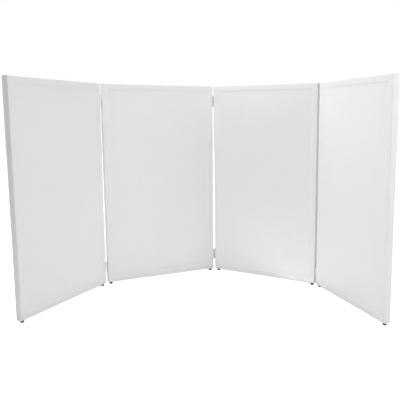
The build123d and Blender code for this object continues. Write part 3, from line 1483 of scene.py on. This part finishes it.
    def in_window(self, x: float, y: float, z: float) -> bool:
        """Whether a point of the turned sides is inside the opening round a hinge.

        Args:
            x: distance from the panel's left edge.
            y: distance from the middle of the tube.
            z: height above the panel's lower edge.

        Returns:
            Whether it is.
        """
        if abs(y) > self.window_half or min(z, self.space.height - z) < self.edge_radius:
            return False
        along = min(z, self.space.height - z)
        if abs(along - self.space.HINGE_INSET) > self.window_length / 2:
            return False
        near_left = x < self.edge_radius and Side.LEFT in self.space.hinged
        near_right = x > self.space.width - self.edge_radius and Side.RIGHT in self.space.hinged
        return near_left or near_right

    def in_foot_patch(self, x: float, y: float, z: float) -> bool:
        """Whether a point of the turned sides is in the square patch round a foot.

        Args:
            x: distance from the panel's left edge.
            y: distance from the middle of the tube.
            z: height above the panel's lower edge.

        Returns:
            Whether it is.
        """
        reach = -(self.space.front + self.edge_radius)
        if z > self.edge_radius or abs(y) > reach:
            return False
        return any(abs(x - hole) < self.foot_patch for hole in self.space.foot_places)

    def add_foot_patches(
        self,
        mesh: bmesh.types.BMesh,
        vertex: VertexMaker,
        rings: list[list[bmesh.types.BMVert]],
        places: list[tuple[float, float]],
        heights: list[float],
    ) -> None:
        """Join the square patch round each foot to a round hole.

        Args:
            mesh: the sheet being built.
            vertex: function that adds one vertex.
            rings: the vertices of the turned sides, row by row.
            places: x and z of each vertex of a row.
            heights: y of each row.
        """
        reach = -(self.space.front + self.edge_radius)
        rows = [r for r, y in enumerate(heights) if abs(y) < reach + WELD_DISTANCE]
        near = self.foot_patch + WELD_DISTANCE
        for hole in self.space.foot_places:
            columns = [
                i for i, (x, z) in enumerate(places) if z < WELD_DISTANCE and abs(x - hole) < near
            ]
            outline = [(rows[0], i) for i in columns]
            outline += [(r, columns[-1]) for r in rows[1:]]
            outline += [(rows[-1], i) for i in reversed(columns[:-1])]
            outline += [(r, columns[0]) for r in reversed(rows[1:-1])]
            outer, inner = [], []
            for row, i in outline:
                x, y = places[i][0], heights[row]
                aim = Vector((x - hole, y)).normalized() * self.foot_opening
                outer.append(rings[row][i])
                run = self.edge_radius * math.pi / 2 + aim.y + reach
                inner.append(vertex(hole + aim.x, aim.y, 0.0, run))
            for i in range(len(outer)):
                j = (i + 1) % len(outer)
                mesh.faces.new((outer[i], outer[j], inner[j], inner[i]))


@dataclass
class CoverSewing:
    """Sewing of a cover: the loop tape's two seams, the overlocked raw edges, the corner seams.

    Attributes:
        cover: the cover that is sewn.
        seam_insets: distances of the tape's seams from the panel's edge.
        edge_margin: from the raw edge to the middle of the overlocking.
        lift: thread above the cloth.
    """

    cover: ScrimCover
    seam_insets: tuple[float, float] = (8.8 * MM, 24.8 * MM)
    edge_margin: float = 1.2 * MM
    lift: float = 0.1 * MM

    # A 3 mm lockstitch in fine thread, drawn a little thicker than the real 0.3 mm
    LOCKSTITCH: ClassVar[GrainRow] = GrainRow(3.2 * MM, 2.7 * MM, 0.55 * MM, 0.5 * MM)
    # Overlocking wraps the raw edge with slanted threads
    OVERLOCK: ClassVar[GrainRow] = GrainRow(
        2.2 * MM, 3.0 * MM, 0.55 * MM, 0.5 * MM, slant=math.radians(72), jitter=0.12, seed=11
    )
    SPACING: ClassVar[float] = 8 * MM    # points of a row, so that it follows the puckered cloth

    def hem_line(self, start: tuple[float, float], end: tuple[float, float]) -> list[Vector]:
        """Points on the back of the hem, from one x and z to another.

        Args:
            start: x and z of the first point.
            end: x and z of the last point.

        Returns:
            The points, in the row frame.
        """
        space = self.cover.space
        length = math.dist(start, end)
        count = max(2, math.ceil(length / self.SPACING) + 1)
        line = []
        for i in range(count):
            share = i / (count - 1)
            x = start[0] + (end[0] - start[0]) * share
            z = start[1] + (end[1] - start[1]) * share
            y = space.rear + self.cover.hem_relief(x, z) + self.lift
            line.append(space.at(x, y, space.base + z))
        return line

    def hem_rows(self, inset: float) -> RowPaths:
        """Four rows round the back, at one distance from the panel's edge.

        Args:
            inset: distance from the panel's edge.

        Returns:
            The rows.
        """
        space = self.cover.space
        rows = RowPaths()
        right, high = space.width - inset, space.height - inset
        corners = ((inset, inset), (right, inset), (right, high), (inset, high))
        for index, corner in enumerate(corners):
            rows.add(self.hem_line(corner, corners[(index + 1) % 4]), space.back)
        return rows

    def build(self) -> list[bpy.types.Object]:
        """Sew the cover.

        Returns:
            The seams and the overlocking, riding on nothing yet.
        """
        space, cover = self.cover.space, self.cover
        seams = RowPaths()
        for inset in self.seam_insets:
            seams.join(self.hem_rows(inset))
        self.add_corner_seams(seams)
        edges = self.hem_rows(cover.hem - self.edge_margin)
        self.add_window_edges(edges)
        seam_piece = self.LOCKSTITCH.lay(f"{space.body}_cover_seams", seams, THREAD)
        edge_piece = self.OVERLOCK.lay(f"{space.body}_cover_overlocking", edges, THREAD)
        return [seam_piece, edge_piece]

    def add_corner_seams(self, rows: RowPaths) -> None:
        """Add the seam at each corner: from front to back, then across the mitre behind.

        Args:
            rows: the rows that they are added to.
        """
        space, cover = self.cover.space, self.cover
        tuck = cover.corner_radius * (1 - math.sqrt(0.5))
        for x, toward_x in ((0.0, 1), (space.width, -1)):
            for z, toward_z in ((0.0, 1), (space.height, -1)):
                corner_x, corner_z = x + toward_x * tuck, z + toward_z * tuck
                ends = (space.front + cover.edge_radius, space.rear - cover.edge_radius)
                line = [space.at(corner_x, y, space.base + corner_z) for y in ends]
                rows.add(line, space.turned(-toward_x, 0, -toward_z).normalized())
                near, far = cover.edge_radius, cover.hem - self.edge_margin
                start = (x + toward_x * near, z + toward_z * near)
                end = (x + toward_x * far, z + toward_z * far)
                rows.add(self.hem_line(start, end), space.back)

    def add_window_edges(self, rows: RowPaths) -> None:
        """Add the overlocked edges of the openings round the hinges.

        Args:
            rows: the rows that they are added to.
        """
        space, cover = self.cover.space, self.cover
        half_y = cover.window_half + self.edge_margin
        half_z = cover.window_length / 2 + self.edge_margin
        for side in space.hinged:
            x = -self.lift if side is Side.LEFT else space.width + self.lift
            facing = space.turned(-1 if side is Side.LEFT else 1, 0, 0)
            for middle in space.hinge_heights:
                line = [
                    space.at(x, half_y * y, space.base + middle + half_z * z)
                    for y, z in ((-1, -1), (1, -1), (1, 1), (-1, 1))
                ]
                rows.add(line, facing, closed=True)


# --------------------------------------------------------------------------------------------------
# Frame welds and feet, the whole panel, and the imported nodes
# --------------------------------------------------------------------------------------------------


@dataclass
class FrameWelds:
    """Weld beads of one frame, under its powder coat: inner mitre corners and hinge knuckles.

    Attributes:
        space: the panel.
        knuckle_length: one hinge knuckle.
        nose_half: half the width of a knuckle where it meets the tube.
        washer_gap: between the two knuckles of a hinge.
        margin: from a mitre's bead to the tube's front and back faces.
    """

    space: PanelSpace
    knuckle_length: float = 33.5 * MM
    nose_half: float = 4.5 * MM
    washer_gap: float = 1.5 * MM
    margin: float = 2 * MM

    BEAD: ClassVar[GrainRow] = GrainRow(
        1.1 * MM, 2.0 * MM, 2.6 * MM, 1.6 * MM, jitter=0.25, roundness=2, seed=23
    )

    def build(self) -> bpy.types.Object:
        """Lay the beads as one piece.

        Returns:
            The beads, riding on nothing yet.
        """
        rows = RowPaths()
        self.add_mitres(rows)
        self.add_noses(rows)
        return self.BEAD.lay(f"{self.space.body}_weld_beads", rows, COAT)

    def add_mitres(self, rows: RowPaths) -> None:
        """Add the bead inside each corner of the frame, from front to back.

        Args:
            rows: the rows that they are added to.
        """
        space = self.space
        inner = space.cloth + space.tube
        reach = space.tube / 2 - self.margin
        for x, toward_x in ((inner, 1), (space.width - inner, -1)):
            for z, toward_z in ((inner, 1), (space.height - inner, -1)):
                line = [space.at(x, y, space.base + z) for y in (-reach, reach)]
                rows.add(line, space.turned(toward_x, 0, toward_z).normalized())

    def add_noses(self, rows: RowPaths) -> None:
        """Add the bead round each knuckle, where it meets the stile.

        Args:
            rows: the rows that they are added to.
        """
        space = self.space
        for side in space.hinged:
            left = side is Side.LEFT
            x = space.cloth if left else space.width - space.cloth
            facing = space.turned(-1 if left else 1, 0, 0)
            # The left stile carries the upper, socket half of a hinge; the right one the lower half
            middle = (self.washer_gap + self.knuckle_length) / 2 * (1 if left else -1)
            half = self.knuckle_length / 2
            for height in space.hinge_heights:
                low, high = height + middle - half, height + middle + half
                for y in (-self.nose_half, self.nose_half):
                    line = [space.at(x, y, space.base + z) for z in (low, high)]
                    rows.add(line, facing)
                outer = high if left else low
                ends = (-self.nose_half, self.nose_half)
                rows.add([space.at(x, y, space.base + outer) for y in ends], facing)


@dataclass
class RubberFeet:
    """The two tapered rubber feet of a panel, turned to their real section.

    Attributes:
        space: the panel.
        height: floor to the tube.
        top_radius: at the tube.
        base_radius: at the floor.
        edge: rounding at the floor.
        recess_radius: pocket for the screw.
        recess_depth: its depth.
        hole_radius: hole for the screw.
        flange_radius: pocket for the rivet nut's flange.
        flange_depth: its depth.
    """

    space: PanelSpace
    height: float = 14 * MM
    top_radius: float = 12 * MM
    base_radius: float = 9.5 * MM
    edge: float = 2 * MM
    recess_radius: float = 6 * MM
    recess_depth: float = 5 * MM
    hole_radius: float = 3.3 * MM
    flange_radius: float = 6.05 * MM
    flange_depth: float = 0.85 * MM

    SEGMENTS: ClassVar[int] = 64
    ARC_STEPS: ClassVar[int] = 5
    LIP: ClassVar[float] = 0.7 * MM          # rounding of the other edges
    FLASH: ClassVar[float] = 0.15 * MM       # parting line left by the mould
    PARTING: ClassVar[float] = 0.55          # its height, as a share of the foot's
    SHARP: ClassVar[float] = math.radians(45)    # an edge that turns more is shaded sharp
    # Moulded grip ribs that just reach the floor
    RIB: ClassVar[GrainRow] = GrainRow(
        2.05 * MM, 2.6 * MM, 0.9 * MM, 0.6 * MM, slant=math.pi / 2, jitter=0.0, roundness=2
    )

    def section(self) -> list[tuple[float, float]]:
        """Closed section of a foot, as radius and height, from the recess round by the outside.

        Returns:
            Its points, in order.
        """
        floor = self.RIB.height / 2
        taper = (self.top_radius - self.base_radius) / self.height
        points = [(self.recess_radius, self.recess_depth)]
        points += self.arc(self.recess_radius + self.LIP, floor + self.LIP, self.LIP, 180, 270)
        base = self.base_radius - self.edge
        points += self.arc(base, floor + self.edge, self.edge, 270, 360)
        parting = self.height * self.PARTING
        side = self.base_radius + taper * parting
        points += [(side - self.FLASH, parting - 2 * self.FLASH), (side + self.FLASH, parting)]
        points += [(side - self.FLASH, parting + 2 * self.FLASH)]
        lip = self.top_radius - self.LIP
        points += self.arc(lip, self.height - self.LIP, self.LIP, 0, 90)
        seat = self.height - self.flange_depth
        points += [(self.flange_radius, self.height), (self.flange_radius, seat)]
        points += [(self.hole_radius, seat), (self.hole_radius, self.recess_depth)]
        return points

    def arc(
        self, middle_r: float, middle_z: float, radius: float, start: int, end: int
    ) -> list[tuple[float, float]]:
        """Points of a rounded edge, as radius and height.

        Args:
            middle_r: radius of the arc's middle.
            middle_z: height of the arc's middle.
            radius: the arc's own radius.
            start: angle of its first point, in degrees.
            end: angle of its last point, in degrees.

        Returns:
            Its points, in order.
        """
        points = []
        for step in range(self.ARC_STEPS + 1):
            angle = math.radians(start + (end - start) * step / self.ARC_STEPS)
            across, up = radius * math.cos(angle), radius * math.sin(angle)
            points.append((middle_r + across, middle_z + up))
        return points

    def build(self) -> list[bpy.types.Object]:
        """Turn both feet, and mould the ribs under them.

        Returns:
            The feet, then their ribs, riding on nothing yet.
        """
        mesh = bmesh.new()
        section = self.section()
        ribs = RowPaths()
        for x in self.space.foot_places:
            loops = []
            for step in range(self.SEGMENTS):
                angle = math.tau * step / self.SEGMENTS
                loops.append([
                    mesh.verts.new(self.space.at(x + r * math.cos(angle), r * math.sin(angle), z))
                    for r, z in section
                ])
            for index, loop in enumerate(loops):
                after = loops[(index + 1) % self.SEGMENTS]
                for i in range(len(section)):
                    j = (i + 1) % len(section)
                    mesh.faces.new((loop[i], loop[j], after[j], after[i])).smooth = True
            self.add_ribs(ribs, x)
        bmesh.ops.recalc_face_normals(mesh, faces=mesh.faces[:])
        feet = object_from(f"{self.space.body}_rubber_feet", mesh)
        feet.data.set_sharp_from_angle(angle=self.SHARP)
        dress(feet, RUBBER)
        return [feet, self.RIB.lay(f"{self.space.body}_foot_ribs", ribs, RUBBER)]

    def add_ribs(self, rows: RowPaths, x: float) -> None:
        """Add a circle of ribs under one foot.

        Args:
            rows: the rows that it is added to.
            x: the foot's distance along the panel.
        """
        ring = (self.recess_radius + self.LIP + self.base_radius - self.edge) / 2
        floor = self.RIB.height / 2
        line = []
        for step in range(self.SEGMENTS):
            angle = math.tau * step / self.SEGMENTS
            line.append(self.space.at(x + ring * math.cos(angle), ring * math.sin(angle), floor))
        rows.add(line, Vector((0, 0, -1)), closed=True)


@dataclass
class Panel:
    """One panel's own pieces: its cover, sewing, weld beads and feet.

    Attributes:
        space: the panel's place and outline.
        pulls: folds of its cover under the top edge.
    """

    space: PanelSpace
    pulls: tuple[Pull, ...] = ()

    TUBES: ClassVar[tuple[str, ...]] = ("bottom_rail", "right_stile", "top_rail", "left_stile")

    def build(self) -> None:
        """Build the pieces, give each its body, and hide the imported cloth, hem and feet that they
        replace.
        """
        name = self.space.body
        cover = ScrimCover(self.space, self.pulls)
        cloth = cover.build()
        sewing = CoverSewing(cover).build()
        welds = FrameWelds(self.space).build()
        rubber = RubberFeet(self.space).build()
        slots = {"scrim_cloth": [cloth, *sewing], "frame_paint": [welds], "foot_rubber": rubber}
        for slot, pieces in slots.items():
            for piece in pieces:
                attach(piece, name)
                log.info("%s: %d faces", piece.name, len(piece.data.polygons))
        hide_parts(f"{name}_scrim", f"{name}_scrim_hem")
        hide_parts(f"{name}_feet")
        [f"{name}_{part}" for part in self.TUBES]


def dress_packed_nodes(nodes: dict[str, bpy.types.Object]) -> None:
    """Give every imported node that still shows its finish.

    Args:
        nodes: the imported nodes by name.
    """
    for name, node in nodes.items():
        if node.hide_render:
            continue
        part = name.split("_", 2)[2]
        dress(node, NODE_FINISHES[part])
        log.info("%s: %s", name, NODE_FINISHES[part].title)


# --------------------------------------------------------------------------------------------------
# Studio
# --------------------------------------------------------------------------------------------------


@dataclass(frozen=True)
class SoftBox:
    """A soft rectangular studio light.

    Attributes:
        title: its place in the studio.
        place: its centre.
        aim: the point that it faces.
        size: width and height.
        power: in watts.
    """

    title: str
    place: tuple[float, float, float]
    aim: tuple[float, float, float]
    size: tuple[float, float]
    power: float

    def build(self) -> None:
        """Hang the light, unseen by the camera."""
        lamp = bpy.data.lights.new(self.title, "AREA")
        lamp.shape = "RECTANGLE"
        lamp.size, lamp.size_y = self.size
        lamp.energy = self.power
        hung = bpy.data.objects.new(self.title, lamp)
        hung.location = self.place
        aim = Vector(self.aim) - Vector(self.place)
        hung.rotation_euler = aim.to_track_quat("-Z", "Y").to_euler()
        hung.visible_camera = False
        bpy.context.scene.collection.objects.link(hung)


@dataclass(frozen=True)
class Studio:
    """White paper floor, white surroundings, soft lights and the camera.

    Attributes:
        floor_radius: the paper floor.
        ambient: strength of the light from all round.
        eye: the camera's place.
        tilt: how far it looks down, in radians.
        pan: how far it is turned to the left, in radians.
        roll: its small roll, in radians.
        lens: focal length, in millimetres.
        shift: shift of the lens, in sensor widths.
    """

    floor_radius: float = 14.0
    ambient: float = 0.39
    eye: tuple[float, float, float] = (0.2364, -3.1939, 1.0128)
    tilt: float = 0.1454
    pan: float = 0.0250
    roll: float = -0.0020
    lens: float = 50.92
    shift: tuple[float, float] = (-0.0893, 0.0016)

    SENSOR: ClassVar[float] = 36.0               # millimetres
    FLOOR_SEGMENTS: ClassVar[int] = 96
    LIGHTS: ClassVar[tuple[SoftBox, ...]] = (
        SoftBox("front_softbox", (0.3, -4.5, 2.4), (0.0, 0.2, 0.5), (2.5, 2.0), 28.5),
        SoftBox("upper_left_softbox", (-0.7, -0.25, 3.6), (0.6, 0.1, 0.3), (1.0, 1.0), 53.0),
        SoftBox("right_softbox", (2.4, -1.6, 1.8), (-0.1, 0.0, 1.0), (1.0, 1.2), 24.0),
        SoftBox("rear_left_softbox", (-2.4, 1.2, 2.4), (-0.7, 0.0, 1.0), (1.6, 1.6), 32.0),
        SoftBox("rear_right_softbox", (2.6, 1.2, 1.4), (0.6, 0.0, 0.6), (1.8, 1.8), 9.0),
        SoftBox("floor_reflector", (0.22, -0.15, 0.02), (0.22, -0.15, 2.0), (0.8, 0.8), 0.95),
    )

    def build(self) -> None:
        """Build the whole studio."""
        self.build_floor()
        self.build_surroundings()
        for light in self.LIGHTS:
            light.build()
        self.build_camera()
        bpy.context.scene.view_settings.view_transform = "Standard"

    def build_floor(self) -> None:
        """Lay the paper floor as a wide disc."""
        mesh = bmesh.new()
        bmesh.ops.create_circle(
            mesh, cap_ends=True, radius=self.floor_radius, segments=self.FLOOR_SEGMENTS
        )
        floor = object_from("paper_floor", mesh)
        dress(floor, PAPER)

    def build_surroundings(self) -> None:
        """Make the surroundings white to the eye, and dimmer as a light."""
        world = bpy.data.worlds.new("white_studio")
        world.use_nodes = True
        tree = world.node_tree
        tree.nodes.clear()
        seen = add_node(tree, "ShaderNodeLightPath").outputs["Is Camera Ray"]
        strength = add_node(
            tree, "ShaderNodeMapRange", {"Value": seen, "To Min": self.ambient, "To Max": 1.0}
        )
        white = add_node(
            tree, "ShaderNodeBackground",
            {"Color": linear("#FFFFFF"), "Strength": strength.outputs["Result"]},
        )
        add_node(tree, "ShaderNodeOutputWorld", {"Surface": white.outputs["Background"]})
        bpy.context.scene.world = world

    def build_camera(self) -> None:
        """Set up the camera."""
        data = bpy.data.cameras.new("camera")
        data.sensor_width = self.SENSOR
        data.lens = self.lens
        data.shift_x, data.shift_y = self.shift
        camera = bpy.data.objects.new("camera", data)
        turn = Matrix.Rotation(self.pan, 4, "Z") @ Matrix.Rotation(math.pi / 2 - self.tilt, 4, "X")
        roll = Matrix.Rotation(self.roll, 4, "Z")
        camera.matrix_world = Matrix.Translation(self.eye) @ turn @ roll
        bpy.context.scene.collection.objects.link(camera)
        bpy.context.scene.camera = camera


# Folds left by stretching the covers over their top rails, by panel
PULLS: dict[int, tuple[Pull, ...]] = {
    1: (Pull(0.62, 0.2, 0.10, 9 * MM, 0.5 * MM),),
    2: (Pull(0.09, -0.3, 0.09, 8 * MM, 0.4 * MM),),
    3: (Pull(0.60, 0.3, 0.08, 8 * MM, 0.4 * MM),),
    4: (
        Pull(0.40, -0.10, 0.09, 7 * MM, 0.7 * MM),
        Pull(0.45, -0.05, 0.12, 8 * MM, 0.9 * MM),
        Pull(0.50, 0.05, 0.10, 7 * MM, 0.8 * MM),
        Pull(0.55, 0.10, 0.13, 9 * MM, 0.9 * MM),
        Pull(0.60, 0.15, 0.08, 8 * MM, 0.6 * MM),
    ),
}


def main() -> None:
    """Build the studio, then every panel."""
    logging.basicConfig(level=logging.INFO, format="%(name)s: %(message)s")
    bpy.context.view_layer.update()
    Studio().build()
    for number in range(1, PanelSpace.PANELS + 1):
        Panel(PanelSpace.from_frame(number), PULLS[number]).build()
    dress_packed_nodes(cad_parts)


if __name__ == "__main__":
    main()
